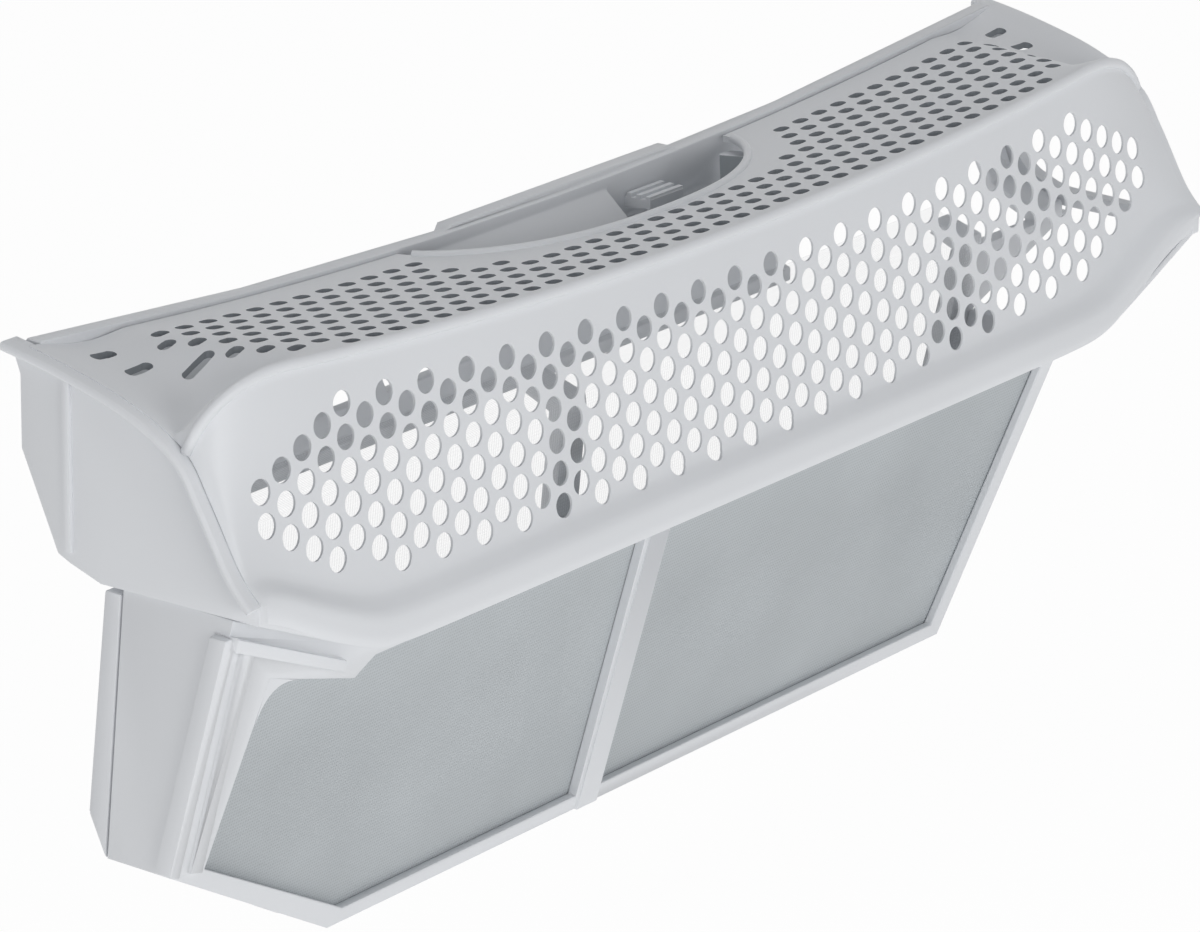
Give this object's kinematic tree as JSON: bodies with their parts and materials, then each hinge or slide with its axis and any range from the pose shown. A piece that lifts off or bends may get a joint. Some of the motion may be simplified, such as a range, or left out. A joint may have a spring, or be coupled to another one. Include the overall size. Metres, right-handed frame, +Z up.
{
  "type": "tumble dryer lint filter",
  "caption": "Tumble dryer lint filter: perforated saddle-topped housing with a finger grip, over a tapering mesh pocket whose rear frame swings open on a bottom hinge.",
  "frame": {"origin": "centre of the bounding box at the bottom of the mesh pocket", "axes": "+X along the filter, +Y from the perforated front to the rear flap, +Z up out of the dryer's slot"},
  "size_m": [0.3102, 0.058, 0.1246],
  "materials": {
    "plastic": "satin moulded",
    "mesh": "fine woven"
  },
  "bodies": {
    "housing": {"housing_body": "plastic", "front_grille": "plastic", "top_cover": "plastic", "grip_cup": "plastic", "pocket_frame": "plastic", "front_mesh": "mesh", "hinge_pins": "plastic"},
    "flap": {"rear_frame": "plastic", "rear_mesh": "mesh"}
  },
  "joints": [
    {"name": "flap_hinge", "type": "hinge", "parent": "housing", "child": "flap", "pos_m": [0, 0.01226, 0.003], "axis": [-1, 0, 0], "range_deg": [0, 100]}
  ]
}
